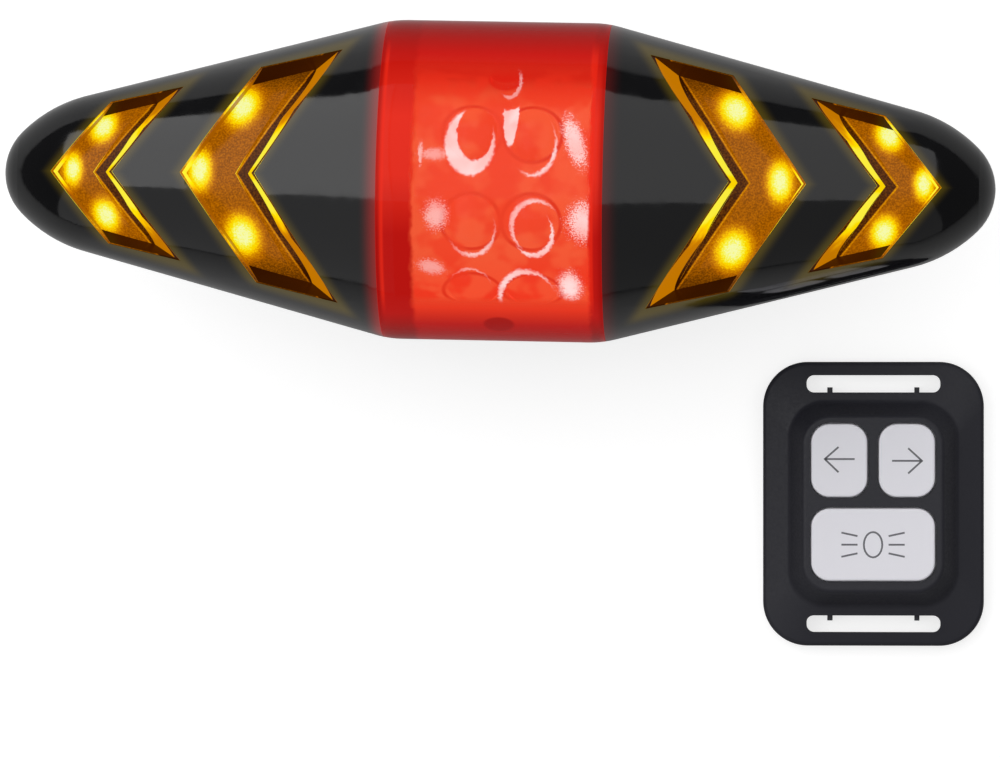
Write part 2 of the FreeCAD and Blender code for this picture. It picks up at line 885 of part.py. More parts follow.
def cell_cradle():
    x, y = cell_length / 2 + slip_gap, cell_width / 2 + slip_gap
    top = board_level
    outer = box(-x - cradle_wall, x + cradle_wall, -y - cradle_wall, y + cradle_wall, cell_floor, top)
    frame = outer.common(inner_back).cut(box(-x, x, -y, y, cell_floor - over, top))
    low = cell_floor + cell_height + slip_gap
    half, reach = cradle_bar_width / 2, y + cradle_bar_lap
    for centre in (cradle_bar_x, -cradle_bar_x):
        frame = frame.fuse(box(centre - half, centre + half, -reach, reach, low, top))
    return frame


def main_board():
    half = main_board_half_length
    tongue_half = port_tongue_width / 2
    level = board_level
    top = level + main_board_thickness
    plate = box(-half, half, main_board_low, main_board_high, level, top)
    pieces = [box(port_x - tongue_half, port_x + tongue_half, port_tongue_end, main_board_low, level, top)]
    for x, y, length, width, height in board_chips:
        pieces.append(box(x - length / 2, x + length / 2, y - width / 2, y + width / 2, top, top + height))
    return plate.fuse(pieces).removeSplitter()


def radio_module():
    x, y = radio_length / 2, radio_width / 2
    low = board_level + main_board_thickness
    step = low + radio_board_thickness
    inset = radio_can_inset
    board = box(radio_x - x, radio_x + x, -y, y, low, step)
    can = box(radio_x - x + inset, radio_x + x - inset - antenna_length, inset - y, y - inset, step, low + radio_height)
    return board.fuse(can)


def charge_port():
    x = port_width / 2
    low, top = board_level - port_height, board_level
    block = box(port_x - x, port_x + x, -port_mouth, port_depth - port_mouth, low, top)
    x -= port_wall
    mouth = box(port_x - x, port_x + x, -port_mouth - over, port_depth - port_mouth - port_back_wall,
                low + port_wall, top - port_wall)
    middle = (low + top) / 2
    x = contact_width / 2
    tongue = box(port_x - x, port_x + x, contact_front - port_mouth, port_depth - port_mouth - contact_back,
                 middle - contact_thickness / 2, middle + contact_thickness / 2)
    return block.cut(mouth).fuse(tongue)


def power_switch():
    near = cell_width / 2 + slip_gap + cradle_wall + switch_gap
    far = near + switch_depth
    body = box(-switch_width / 2, switch_width / 2, near, far, board_level - switch_height, board_level)
    reach = button_seat - button_flange_thickness - power_travel - plunger_gap - far
    plunger = Part.makeCylinder(plunger_radius, reach, Vector(0, far, button_level), y_axis)
    return body.fuse(plunger)


def power_button():
    flange_y = button_seat - fit_gap - button_flange_thickness
    foot = Vector(0, flange_y, button_level)
    cap = Part.makeCylinder(button_radius, button_proud - flange_y, foot, y_axis)
    rim = [e for e in cap.Edges if abs(e.CenterOfMass.y - button_proud) < touch_gap]
    cap = cap.makeFillet(button_edge, rim)
    flange = Part.makeCylinder(button_radius + button_flange, button_flange_thickness, foot, y_axis)
    return cap.fuse(flange).common(box(-through, through, 0, through, -through, -button_joint_gap))


def port_cover():
    return outer_back.cut(back_form(cover_thickness)).common(cover_block(0.0, 0.0))


def wing_ribbon():
    level = board_level + main_board_thickness
    end_x = wing_board_x[0] + ribbon_landing
    under = wing_board_level - board_thickness / math.cos(math.radians(cone_angle))
    end_z = under - (end_x - amber_led_places[0][0]) * slope - ribbon_thickness - touch_gap
    start_x = main_board_half_length - ribbon_lap
    bend_x = start_x + ribbon_lap + ribbon_flat
    path = [(start_x, level), (bend_x, level), (end_x - ribbon_landing, end_z + ribbon_landing * slope),
            (end_x, end_z)]
    half = ribbon_width / 2
    spots = [Vector(x, -half, z) for x, z in path]
    spots += [Vector(x, -half, z + ribbon_thickness) for x, z in reversed(path)]
    return Part.Face(Part.makePolygon(spots + spots[:1])).extrude(Vector(0, ribbon_width, 0))


# Seat post bracket and its rubber saddle pad, in the set's own frame below the light
def bracket():
    x, y = bracket_half_width, bracket_half_length
    body = box(-x, x, -y, y, 0, bracket_top)
    top_edges = [e for e in body.Edges if abs(e.CenterOfMass.z - bracket_top) < touch_gap]
    body = body.makeFillet(bracket_edge, top_edges)
    ear_top = ear_level + ear_thickness
    ears = round_box(2 * (x + ear_length), 2 * (y - ear_inset), ear_corner, ear_level, ear_top)
    body = body.fuse(ears)
    body = body.cut(Part.makeCylinder(groove_radius, 2 * y, Vector(0, -y, post_axis_z), y_axis))
    stop = y - bracket_back_wall
    neck = rail_neck + slip_gap
    head = rail_head + slip_gap
    body = body.cut(box(-neck, neck, -stop, y, slot_floor, bracket_top))
    body = body.cut(box(-head, head, -stop, y, slot_floor, slot_ceiling))
    centre = x + strap_slot_inset + strap_slot_width / 2
    for side in (1, -1):
        slot = round_box(strap_slot_width, strap_slot_length, strap_slot_corner, 0, bracket_top, side * centre)
        body = body.cut(slot)
    return body


def saddle_pad():
    y = bracket_half_length - saddle_inset
    foot = Vector(0, -y, post_axis_z)
    ring = Part.makeCylinder(groove_radius - touch_gap, 2 * y, foot, y_axis)
    ring = ring.cut(Part.makeCylinder(post_radius_clamp, 2 * y, foot, y_axis))
    pad = ring.common(box(-bracket_half_width, bracket_half_width, -y, y, 0, groove_top))
    for step in range(-grip_pairs, grip_pairs + 1):
        start = Vector(0, step * grip_pitch - grip_width / 2, post_axis_z)
        pad = pad.cut(Part.makeCylinder(post_radius_clamp + grip_depth, grip_width, start, y_axis))
    return pad


# Remote control
def key_place(key):
    if key == "light":
        low = key_lower_border - plateau_length / 2
        high = key_split_y - key_gap / 2
        return 2 * key_width + key_gap, low, high, 0.0
    low = key_split_y + key_gap / 2
    high = plateau_length / 2 - key_upper_border
    centre = (key_width + key_gap) / 2
    return key_width, low, high, centre if key == "right" else -centre


def key_block(key, z0, z1, grow):
    width, low, high, x = key_place(key)
    return round_box(width + 2 * grow, high - low + 2 * grow, key_corner + grow, z0, z1, x, (low + high) / 2)


def strap_slots(z0, z1):
    shapes = []
    slot_y = remote_length / 2 - slot_inset
    for side in (1, -1):
        slot = round_box(slot_length, slot_width, slot_corner, z0, z1, 0.0, side * slot_y)
        for x in (nub_x, -nub_x):
            inner = side * (slot_y - slot_width / 2)
            low, high = sorted((inner - side * nub_root, inner + side * nub_size))
            nub = box(x - nub_size / 2, x + nub_size / 2, low, high, z0, remote_edge_high + nub_rise)
            slot = slot.cut(nub)
        shapes.append(slot)
    return shapes


def outline_edges(shape, level, width, length):
    edges = []
    for edge in shape.Edges:
        box_low, box_high = edge.BoundBox.ZMin, edge.BoundBox.ZMax
        flat = box_high - box_low < touch_gap and abs(box_low - level) < touch_gap
        if flat and abs(edge.CenterOfMass.x) <= width / 2 and abs(edge.CenterOfMass.y) <= length / 2:
            edges.append(edge)
    return edges


def remote_top_case():
    edge = round_box(remote_width, remote_length, remote_corner, remote_edge_low, remote_edge_high)
    slope_part = tapered_block((remote_width, remote_length, remote_corner, remote_edge_high),
                               (boss_width, boss_length, boss_corner, remote_shoulder_level))
    boss = tapered_block((boss_width, boss_length, boss_corner, remote_shoulder_level),
                         (plateau_width, plateau_length, plateau_corner, remote_top))
    body = edge.fuse([slope_part, boss])
    rounds = ((remote_top, remote_top_round), (remote_shoulder_level, remote_shoulder_round),
              (remote_edge_high, remote_edge_round))
    for level, radius in rounds:
        body = body.makeFillet(radius, outline_edges(body, level, remote_width, remote_length))
    pocket_low = round_box(bottom_case_width + 2 * slip_gap, bottom_case_length + 2 * slip_gap,
                           bottom_case_corner, 0, bottom_case_height)
    pocket = round_box(pocket_width, pocket_length, cavity_corner, 0, remote_shoulder_level + cavity_step)
    upper = round_box(plateau_width - 2 * boss_skin, plateau_length - 2 * boss_skin, cavity_corner, 0,
                      remote_top - remote_wall)
    body = body.cut(pocket_low).cut(pocket).cut(upper)
    for key in ("left", "right", "light"):
        body = body.cut(key_block(key, 0, remote_top + over, button_gap))
    for slot in strap_slots(0, remote_top):
        body = body.cut(slot)
    hole_top = remote_screw_sink + remote_screw_head_height + remote_screw_length + loose_gap
    for x, y in remote_screws_at():
        body = body.cut(Part.makeCylinder(remote_screw_radius + fit_gap, hole_top, Vector(x, y, 0)))
    return body


def key_cap(key):
    cap = key_block(key, key_seat - key_flange_thickness, key_top, 0.0)
    rim = [e for e in cap.Edges if abs(e.BoundBox.ZMin - key_top) < touch_gap]
    cap = cap.makeFillet(key_edge, rim)
    flange = key_block(key, key_seat - key_flange_thickness, key_seat, key_flange)
    return cap.fuse(flange)


def key_membrane():
    return round_box(remote_board_width - 2 * membrane_inset, remote_board_length - 2 * membrane_inset,
                     remote_board_corner, membrane_top - membrane_thickness, membrane_top)


def remote_board():
    top = remote_board_level + remote_board_thickness
    board = round_box(remote_board_width, remote_board_length, remote_board_corner, remote_board_level, top)
    return board.cut(Part.makeCylinder(board_hole_radius, through, origin))


def dome_switches():
    low = remote_board_level + remote_board_thickness
    height = membrane_top - membrane_thickness - touch_gap - low
    domes = []
    for key in ("left", "right", "light"):
        width, near, far, x = key_place(key)
        foot = Vector(x, (near + far) / 2, low)
        domes.append(Part.makeCone(dome_switch_radius, dome_switch_top_radius, height, foot))
    return Part.makeCompound(domes)


def remote_bottom_case():
    body = round_box(bottom_case_width, bottom_case_length, bottom_case_corner, 0, bottom_case_height - fit_gap)
    rim = round_box(rim_width, rim_length, rim_corner, bottom_case_floor, remote_board_level - fit_gap)
    hollow = round_box(rim_width - 2 * rim_wall, rim_length - 2 * rim_wall, rim_inner_corner,
                       bottom_case_floor, remote_board_level + over)
    body = body.fuse(rim).cut(hollow)
    body = body.cut(Part.makeCylinder(cover_radius + slip_gap, cover_plate, origin))
    body = body.cut(Part.makeCylinder(cover_rim_radius + slip_gap, through, origin))
    sink = remote_screw_head_height + remote_screw_sink
    for x, y in remote_screws_at():
        body = body.cut(Part.makeCylinder(remote_screw_radius + slip_gap, through, Vector(x, y, 0)))
        body = body.cut(Part.makeCylinder(remote_screw_head + slip_gap, sink, Vector(x, y, 0)))
    return body


def remote_screws_at():
    x = bottom_case_width / 2 - remote_screw_inset_x
    y = bottom_case_length / 2 - remote_screw_inset_y
    return [(x, y), (x, -y), (-x, y), (-x, -y)]


def remote_screws():
    screws = []
    low = remote_screw_sink
    half, thin = remote_screw_slot_length / 2, remote_screw_slot_width / 2
    for x, y in remote_screws_at():
        head = Part.makeCylinder(remote_screw_head, remote_screw_head_height, Vector(x, y, low))
        seat = Vector(x, y, low + remote_screw_head_height)
        shank = Part.makeCylinder(remote_screw_radius, remote_screw_length, seat)
        slot = box(x - half, x + half, y - thin, y + thin, low, low + remote_screw_slot_depth)
        screws.append(head.fuse(shank).cut(slot))
    return Part.makeCompound(screws)


def coin_cell():
    step = coin_level + coin_step
    low = Part.makeCylinder(coin_radius, coin_height - coin_step, Vector(0, 0, step))
    high = Part.makeCylinder(coin_radius - coin_step_inset, coin_step, Vector(0, 0, coin_level))
    return low.fuse(high)


def battery_cover():
    plate_top = cover_plate - fit_gap
    plate = Part.makeCylinder(cover_radius, plate_top, origin)
    ring = Part.makeCylinder(cover_rim_radius, cover_rim_height, Vector(0, 0, plate_top))
    ring = ring.cut(Part.makeCylinder(cover_rim_radius - cover_rim_wall, through, Vector(0, 0, plate_top)))
    x, y = coin_slot_length / 2, coin_slot_width / 2
    return plate.fuse(ring).cut(box(-x, x, -y, y, 0, coin_slot_depth))


def cell_contact():
    half = contact_half
    top = remote_board_level - touch_gap
    low = coin_level + coin_height + touch_gap
    plate = box(-half, half, -half, half, low, low + contact_sheet)
    foot = box(-half, contact_foot - half, -half, half, low, top)
    return plate.fuse(foot)


# Write every piece
save("front_housing", place_light(front_housing()))
save("back_housing", place_light(back_housing()))
save("red_lens", place_light(red_lens()))
save("optics_plate", place_optics(optics_plate()))
save("red_led_board", place_optics(led_board()))
save("red_leds", place_optics(red_leds()))
save("laser_modules", place_optics(laser_modules()))
for window_name, window_sizes in (("inner", inner_window), ("outer", outer_window)):
    for side_name, piece in zip(("right", "left"), both_ends(amber_lens(window_sizes))):
        save("amber_lens_" + side_name + "_" + window_name, place_light(piece))
for side_name, piece in zip(("right", "left"), both_ends(wing_board())):
    save("amber_led_board_" + side_name, place_light(piece))
save("amber_leds", place_light(Part.makeCompound([m for led in amber_leds() for m in both_ends(led)])))
for side_name, piece in zip(("right", "left"), both_ends(wing_ribbon())):
    save("ribbon_" + side_name, place_light(piece))
save("housing_seal", place_light(seal_ring(0.0)))
save("housing_screws", place_light(housing_screws()))
save("lithium_cell", place_light(lithium_cell()))
save("cell_cradle", place_light(cell_cradle()))
save("main_board", place_light(main_board()))
save("radio_module", place_light(radio_module()))
save("charge_port", place_light(charge_port()))
save("power_switch", place_light(power_switch()))
save("power_button", place_light(power_button()))
save("port_cover", place_light(port_cover()))
post_shift = Vector(0, light_y, 0)
for post_name, post_piece in (("seat_post_bracket", bracket()), ("saddle_pad", saddle_pad())):
    post_piece.translate(post_shift)
    save(post_name, post_piece)
save("remote_top_case", place_remote(remote_top_case()))
save("remote_bottom_case", place_remote(remote_bottom_case()))
for key_name in ("left", "right", "light"):
    save(key_name + "_button", place_remote(key_cap(key_name)))
save("key_membrane", place_remote(key_membrane()))
save("remote_board", place_remote(remote_board()))
save("dome_switches", place_remote(dome_switches()))
save("coin_cell", place_remote(coin_cell()))
save("cell_contact", place_remote(cell_contact()))
save("battery_cover", place_remote(battery_cover()))
save("remote_screws", place_remote(remote_screws()))
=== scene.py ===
import math
from functools import reduce

import bmesh
import bpy
from mathutils import Matrix, Vector


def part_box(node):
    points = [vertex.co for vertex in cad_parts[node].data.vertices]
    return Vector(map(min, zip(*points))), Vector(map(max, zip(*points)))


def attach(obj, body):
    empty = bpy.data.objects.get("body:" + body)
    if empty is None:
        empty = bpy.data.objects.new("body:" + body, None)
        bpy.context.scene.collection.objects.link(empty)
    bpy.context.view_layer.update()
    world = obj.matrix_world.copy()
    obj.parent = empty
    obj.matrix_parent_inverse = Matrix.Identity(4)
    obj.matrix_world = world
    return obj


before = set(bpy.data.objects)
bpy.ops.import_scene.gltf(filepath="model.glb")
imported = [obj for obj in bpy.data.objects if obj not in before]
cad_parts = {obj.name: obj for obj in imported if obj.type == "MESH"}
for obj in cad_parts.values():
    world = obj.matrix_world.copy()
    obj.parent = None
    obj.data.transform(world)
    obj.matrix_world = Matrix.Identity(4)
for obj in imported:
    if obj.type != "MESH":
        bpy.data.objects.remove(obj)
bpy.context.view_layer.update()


# Circuit boards: glass epoxy with etched copper tracks, which show as lighter lines under a
# glossy green mask. On the main board, chips in black moulding compound stand on the front
# face. Sizes are in mm.
mm = 0.001
housing_low, housing_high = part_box("front_housing")
lens_axis = Vector((0, (housing_low.y + housing_high.y) / 2, housing_low.z))
chip_foot = lens_axis.z - 0.15 * mm
field_length = 1.92
track_pitch = 0.96
track_width = 0.35
row_shift = 0.35


# A colour as it is written for a screen, turned to linear light
def srgb(code):
    channels = [int(code[i:i + 2], 16) / 255 for i in (1, 3, 5)]
    linear = [c / 12.92 if c <= 0.04045 else ((c + 0.055) / 1.055) ** 2.4 for c in channels]
    return (*linear, 1.0)


# Inputs go by name or in their order: a socket is linked, and a value is set
def feed(tree, node, inputs):
    places = inputs if isinstance(inputs, dict) else dict(enumerate(inputs))
    for place, value in places.items():
        if isinstance(value, bpy.types.NodeSocket):
            tree.links.new(value, node.inputs[place])
        else:
            node.inputs[place].default_value = value


# Adds a node with its inputs, its settings and its ramp's stops, and gives its outputs
def add(tree, kind, inputs=(), stops=None, **settings):
    node = tree.nodes.new("ShaderNode" + kind)
    for name, value in settings.items():
        setattr(node, name, value)
    feed(tree, node, inputs)
    if stops:
        ramp = node.color_ramp.elements
        ramp[0].position, ramp[0].color = stops[0][0], srgb(stops[0][1])
        ramp[1].position, ramp[1].color = stops[-1][0], srgb(stops[-1][1])
        for place, code in stops[1:-1]:
            ramp.new(place).color = srgb(code)
    return node.outputs


def start_material(name, inputs):
    material = bpy.data.materials.new(name)
    material.use_nodes = True
    shader = material.node_tree.nodes["Principled BSDF"]
    feed(material.node_tree, shader, inputs)
    return material, material.node_tree, shader


# Lays coats over a base colour, each with the share of the base that it covers.
# The node has the share at socket 0, the two colours at 6 and 7, and its result at 2.
def paint(tree, base, *coats):
    for share, colour in coats:
        base = add(tree, "Mix", {0: share, 6: base, 7: colour}, data_type="RGBA")[2]
    return base


def dress(material, *names):
    for name in names:
        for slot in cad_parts[name].material_slots:
            slot.material = material


def circuit_board(name, has_chips=False):
    material, tree, shader = start_material(name, {"IOR": 1.5, "Roughness": 0.32})
    point = add(tree, "TexCoord")["Object"]
    colour = add(tree, "TexBrick", {
        "Vector": point, "Scale": 1 / mm, "Brick Width": field_length, "Row Height": track_pitch,
        "Mortar Size": track_width, "Color1": srgb("#0c4f27"), "Color2": srgb("#0a4522"),
        "Mortar": srgb("#1c7a3c")}, offset=row_shift)["Color"]
    if has_chips:
        height = add(tree, "SeparateXYZ", (point,))["Z"]
        chip = add(tree, "Math", (height, chip_foot), operation="GREATER_THAN")[0]
        colour = paint(tree, colour, (chip, srgb("#141416")))
    feed(tree, shader, {"Base Color": colour})
    return material


dress(circuit_board("green_circuit_board"), "red_led_board", "amber_led_board_right",
      "amber_led_board_left", "remote_board")
dress(circuit_board("green_main_board", has_chips=True), "main_board")


# Lamps: LED packages with smooth lenses of tinted resin, moulded over the chip.
# Each glows in its own colour, a little cloudy where the resin spreads the light.
resin_cloud_size = 1.11
noise_span = (0.3, 0.7)  # nearly all of a noise's values lie in it
lamp_glow = (0.7, 1.0)


# Joins values two by two, to their product, their sum or the greatest of them
def join(tree, operation, values):
    return reduce(lambda a, b: add(tree, "Math", (a, b), operation=operation)[0], values)


# A product of soft steps. Each is a value, where its step starts and ends, and the levels
# before and after it, which are 0 and 1 if they aren't given.
def ease(tree, *steps):
    levels = [add(tree, "MapRange", step, interpolation_type="SMOOTHSTEP")[0] for step in steps]
    return join(tree, "MULTIPLY", levels)


def lamp_resin(name, body, light):
    material, tree, shader = start_material(name, {
        "Base Color": srgb(body), "IOR": 1.5, "Roughness": 0.2, "Emission Color": srgb(light)})
    point = add(tree, "TexCoord")["Object"]
    cloud = add(tree, "TexNoise", {
        "Vector": point, "Scale": 1 / (resin_cloud_size * mm), "Detail": 2.0})["Fac"]
    feed(tree, shader, {"Emission Strength": ease(tree, (cloud, *noise_span, *lamp_glow))})
    return material


dress(lamp_resin("red_lamp_resin", "#c81408", "#ff3018"), "red_leds")
dress(lamp_resin("amber_lamp_resin", "#e8a020", "#ffb000"), "amber_leds")


# Metal: the lasers' turned brass cans, the zinc plated screws, the stamped steel of the coin
# cell, snap domes, radio screen and port shell, and the plated spring contact. Each mirrors
# what is round it softly, in its own tint.

# Turning marks and plating grain are finer than a pixel, so they are drawn at 0.5 to 1.2 mm.
# A grain has its size and height in mm, and the two roughnesses that it wanders between.
def grain(tree, shader, size, rough, strength, height, detail=2.0):
    point = add(tree, "TexCoord")["Object"]
    noise = add(tree, "TexNoise", {"Vector": point, "Scale": 1 / (size * mm), "Detail": detail})["Fac"]
    bump = add(tree, "Bump", {"Strength": strength, "Distance": height * mm, "Height": noise})["Normal"]
    feed(tree, shader, {"Roughness": ease(tree, (noise, *noise_span, *rough)), "Normal": bump})


def metal(name, colour, size, rough):
    material, tree, shader = start_material(name, {"Metallic": 1.0, "Base Color": srgb(colour)})
    grain(tree, shader, size, rough, strength=0.05, height=0.05, detail=3.0)
    return material


dress(metal("turned_brass", "#c9a14e", size=0.67, rough=(0.25, 0.38)), "laser_modules")
dress(metal("zinc_plated_steel", "#b4b7bd", size=0.56, rough=(0.24, 0.36)), "housing_screws",
      "remote_screws")
dress(metal("stamped_stainless_steel", "#c6c8cc", size=1.11, rough=(0.16, 0.26)), "coin_cell",
      "dome_switches", "radio_module", "charge_port")
dress(metal("nickel_plated_bronze", "#cfc8b4", size=0.83, rough=(0.2, 0.3)), "cell_contact")


# Ribbons: copper conductors between two films of amber polyimide, pressed together.
# The conductors show through the film as darker stripes.
conductor_pitch = 0.98
wave_turns = 20 / math.tau  # stripes that a wave texture draws to a unit, at a scale of 1


def polyimide_ribbon():
    material, tree, shader = start_material("polyimide_ribbon", {"IOR": 1.6, "Roughness": 0.28})
    point = add(tree, "TexCoord")["Object"]
    stripes = add(tree, "TexWave", {"Vector": point, "Scale": 1 / (conductor_pitch * mm * wave_turns)},
                  wave_type="BANDS", bands_direction="Y")["Fac"]
    copper = add(tree, "ValToRGB", (stripes,), stops=((0.42, "#8a5212"), (0.58, "#c98a34")))[0]
    feed(tree, shader, {"Base Color": copper})
    return material


dress(polyimide_ribbon(), "ribbon_right", "ribbon_left")


# Cell: a lithium pouch of aluminium foil, pressed to its shape, with a dull metal sheen.
# A band of amber tape holds down the end with the tabs.
foil_grain = 1.43
tape_width = 4.5
tape_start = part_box("lithium_cell")[1].x - tape_width * mm


def pouch_foil():
    material, tree, shader = start_material("pouch_foil", {"Metallic": 0.7})
    grain(tree, shader, foil_grain, (0.3, 0.42), strength=0.08, height=0.1)
    along = add(tree, "SeparateXYZ", (add(tree, "TexCoord")["Object"],))["X"]
    tape = add(tree, "Math", (along, tape_start), operation="GREATER_THAN")[0]
    feed(tree, shader, {"Base Color": paint(tree, srgb("#a9adb3"), (tape, srgb("#b87a1e")))})
    return material


dress(pouch_foil(), "lithium_cell")


# Moulded plastics: the inner frame and the switch in matte ABS, the bracket in glass filled
# nylon, and the remote's case in ABS with a spark eroded texture, which gives it a dry sheen.

# Moulded textures are finer than a pixel, so these and the later ones are drawn at 0.4 to 1 mm
def moulded(name, colour, size, rough, strength, height, shine=0.5):
    material, tree, shader = start_material(name, {
        "Base Color": srgb(colour), "IOR": 1.5, "Specular IOR Level": shine})
    grain(tree, shader, size, rough, strength, height)
    return material


dress(moulded("matte_black_abs", "#161618", size=0.67, rough=(0.5, 0.6), strength=0.1, height=0.06),
      "cell_cradle", "power_switch")
dress(moulded("glass_filled_nylon", "#1b1b1d", size=0.71, rough=(0.42, 0.56), strength=0.2, height=0.1),
      "seat_post_bracket")
dress(moulded("spark_textured_abs", "#27272e", size=0.455, rough=(0.42, 0.55), strength=0.12,
              height=0.08, shine=0.3), "remote_top_case", "remote_bottom_case", "battery_cover")


# Rubber: seal, button, port cover, post pad and key membrane in black silicone.
# It is moulded with a dry, slightly cloudy skin that hardly shines.
dress(moulded("black_silicone", "#121213", size=0.91, rough=(0.62, 0.78), strength=0.15, height=0.08,
              shine=0.35), "housing_seal", "power_button", "port_cover", "saddle_pad", "key_membrane")


# Optics plate: moulded red acrylic with six domes over the lamps and two laser windows.
# The lamps' light through it is painted into its emission as a glow, brighter in a middle band and darker
# at the top and the foot, and each dome carries painted highlights, the crescent glints of a lens.

# Places are in mm from the plate's middle, some as a place along it and a lean round its axis.
# A step has where it starts and where it ends, and levels where they aren't 0 and 1.
optics_low, optics_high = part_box("optics_plate")
optics_middle = (optics_low.x + optics_high.x) / 2
optics_radius = 22.0
dome_places = [(side, lean) for lean in (20.0, -20.0, -60.0) for side in (5.1, -5.1)]
dome_seam_radius = 5.0
dome_seam_step = (0.55, 0.1)
seam_cloud_step = (0.6, 0.4, 0.25, 0.8)
laser_places = ((0.0, 50.0), (0.0, -82.0))
laser_step = (3.3, 2.5, 0.0, 0.8)
lit_foot_step = (-24.0, -20.5)
lit_crown_step = (18.5, 11.5)
deep_foot_step = (-11.0, -18.0, 0.0, 0.3)
deep_cloud_step = (0.42, 0.58, 0.0, 0.62)
pink_cloud_step = (0.35, 0.65)
acrylic_cloud_size = 6.25
ragged_size = 0.625
ragged_reach = 0.45
speck_size = 0.222
spray_reach = 2.2
spray_step = (1.2, 0.5)
glint_step = (1.04, 0.9)
hollow_step = (0.95, 1.04)

# Each glint is a painted highlight. It has its middle, half width, half height and turn, then the oval that
# hollows it out to a crescent, or none where it is a spray of painted light, and its strength
glints = (
    (-5.46, 5.75, 4.32, 5.63, 0, (-4.60, 7.45, 3.05, 4.70), 1.00),
    (1.31, 11.23, 1.34, 6.05, 0, (1.01, 15.69, 3.02, 4.28), 1.00),
    (5.39, 5.58, 3.93, 5.44, 0, (4.80, 6.33, 4.20, 5.63), 0.90),
    (12.20, 6.28, 1.58, 4.37, 18, None, 1.00),
    (5.62, -7.92, 4.20, 4.50, 0, (6.23, -8.47, 4.05, 4.42), 0.80),
    (5.62, -9.42, 3.44, 3.93, 0, (5.10, -8.68, 3.44, 3.93), 1.00),
    (-4.93, -8.87, 4.05, 4.57, 0, (-5.23, -8.12, 4.20, 4.65), 0.70),
    (14.08, -7.21, 2.81, 3.19, 0, None, 1.00),
    (-10.95, -6.37, 2.02, 2.52, 0, None, 0.55),
    (-11.42, 3.76, 2.52, 1.01, 0, None, 0.40),
    (-13.75, 3.88, 0.40, 2.07, 0, None, 0.55),
    (3.94, -19.85, 4.87, 4.69, 0, (4.49, -20.77, 4.80, 4.80), 0.90),
    (-5.48, -18.92, 3.75, 3.75, 0, (-5.52, -19.37, 4.13, 3.90), 0.60),
    (11.46, -17.85, 1.95, 2.32, 10, None, 1.00),
    (-11.89, -15.13, 2.32, 1.18, -12, None, 0.40),
    (0.90, 16.40, 2.00, 3.00, 0, (0.40, 16.95, 2.05, 3.00), 0.45))


# Position in mm from the lens's middle, or from another one beside it, whole and as x, y and z
def lens_point(tree, middle_x=0.0):
    middle = (middle_x, lens_axis.y, lens_axis.z)
    point = add(tree, "TexCoord")["Object"]
    point = add(tree, "VectorMath", (point, middle), operation="SUBTRACT")[0]
    point = add(tree, "VectorMath", {0: point, "Scale": 1 / mm}, operation="SCALE")[0]
    return point, *add(tree, "SeparateXYZ", (point,))


# Distance from an upright oval's middle, which is 1 on its outline
def oval(tree, point, x, y, half_width, half_height, turn=0.0):
    flat = add(tree, "VectorMath", (point, (1, 1, 0)), operation="MULTIPLY")[0]
    spot = add(tree, "Mapping", {
        "Vector": flat, "Location": (x, y, 0), "Rotation": (0, 0, math.radians(turn)),
        "Scale": (half_width, half_height, 1)}, vector_type="TEXTURE")[0]
    return add(tree, "VectorMath", (spot,), operation="LENGTH")["Value"]


def apart(tree, value, middle):
    gap = add(tree, "Math", (value, middle), operation="SUBTRACT")[0]
    return add(tree, "Math", (gap,), operation="ABSOLUTE")[0]


# Distance from a place on the plate's curved face
def from_place(tree, point, side, lean):
    turn = math.radians(lean)
    place = (side, optics_radius * math.sin(turn), optics_radius * math.cos(turn))
    return add(tree, "VectorMath", (point, place), operation="DISTANCE")["Value"]


# Painted highlights: white crescents and sprays of light on the domes, with ragged, speckled edges
def glint_light(tree, point):
    ragged = add(tree, "TexNoise", {"Vector": point, "Scale": 1 / ragged_size, "Detail": 4.0})["Color"]
    reach = (2 * ragged_reach, 2 * ragged_reach, 0)
    centred = (-ragged_reach, -ragged_reach, 0)
    shift = add(tree, "VectorMath", (ragged, reach, centred), operation="MULTIPLY_ADD")[0]
    jagged = add(tree, "VectorMath", (point, shift), operation="ADD")[0]
    speck = add(tree, "TexNoise", {"Vector": point, "Scale": 1 / speck_size, "Detail": 3.0})["Fac"]
    speck = add(tree, "Math", (speck, 0.5), operation="SUBTRACT")[0]  # a noise's middle value is 0.5
    shine = []
    for x, y, half_width, half_height, turn, hollow, strength in glints:
        around = oval(tree, jagged, x, y, half_width, half_height, turn)
        if hollow:
            inner = oval(tree, jagged, *hollow)
            shine.append(ease(tree, (around, *glint_step, 0.0, strength), (inner, *hollow_step)))
        else:
            sprayed = add(tree, "Math", (speck, spray_reach, around), operation="MULTIPLY_ADD")[0]
            shine.append(ease(tree, (sprayed, *spray_step, 0.0, strength)))
    return join(tree, "MAXIMUM", shine)


# Painted shade: dark lines in the glow where the domes meet the plate, fainter where the glow is cloudy
def dome_seam_shade(tree, point, cloud):
    seams = []
    for place in dome_places:
        off = apart(tree, from_place(tree, point, *place), dome_seam_radius)
        seams.append(ease(tree, (off, *dome_seam_step)))
    return join(tree, "MULTIPLY", (join(tree, "MAXIMUM", seams), ease(tree, (cloud, *seam_cloud_step))))
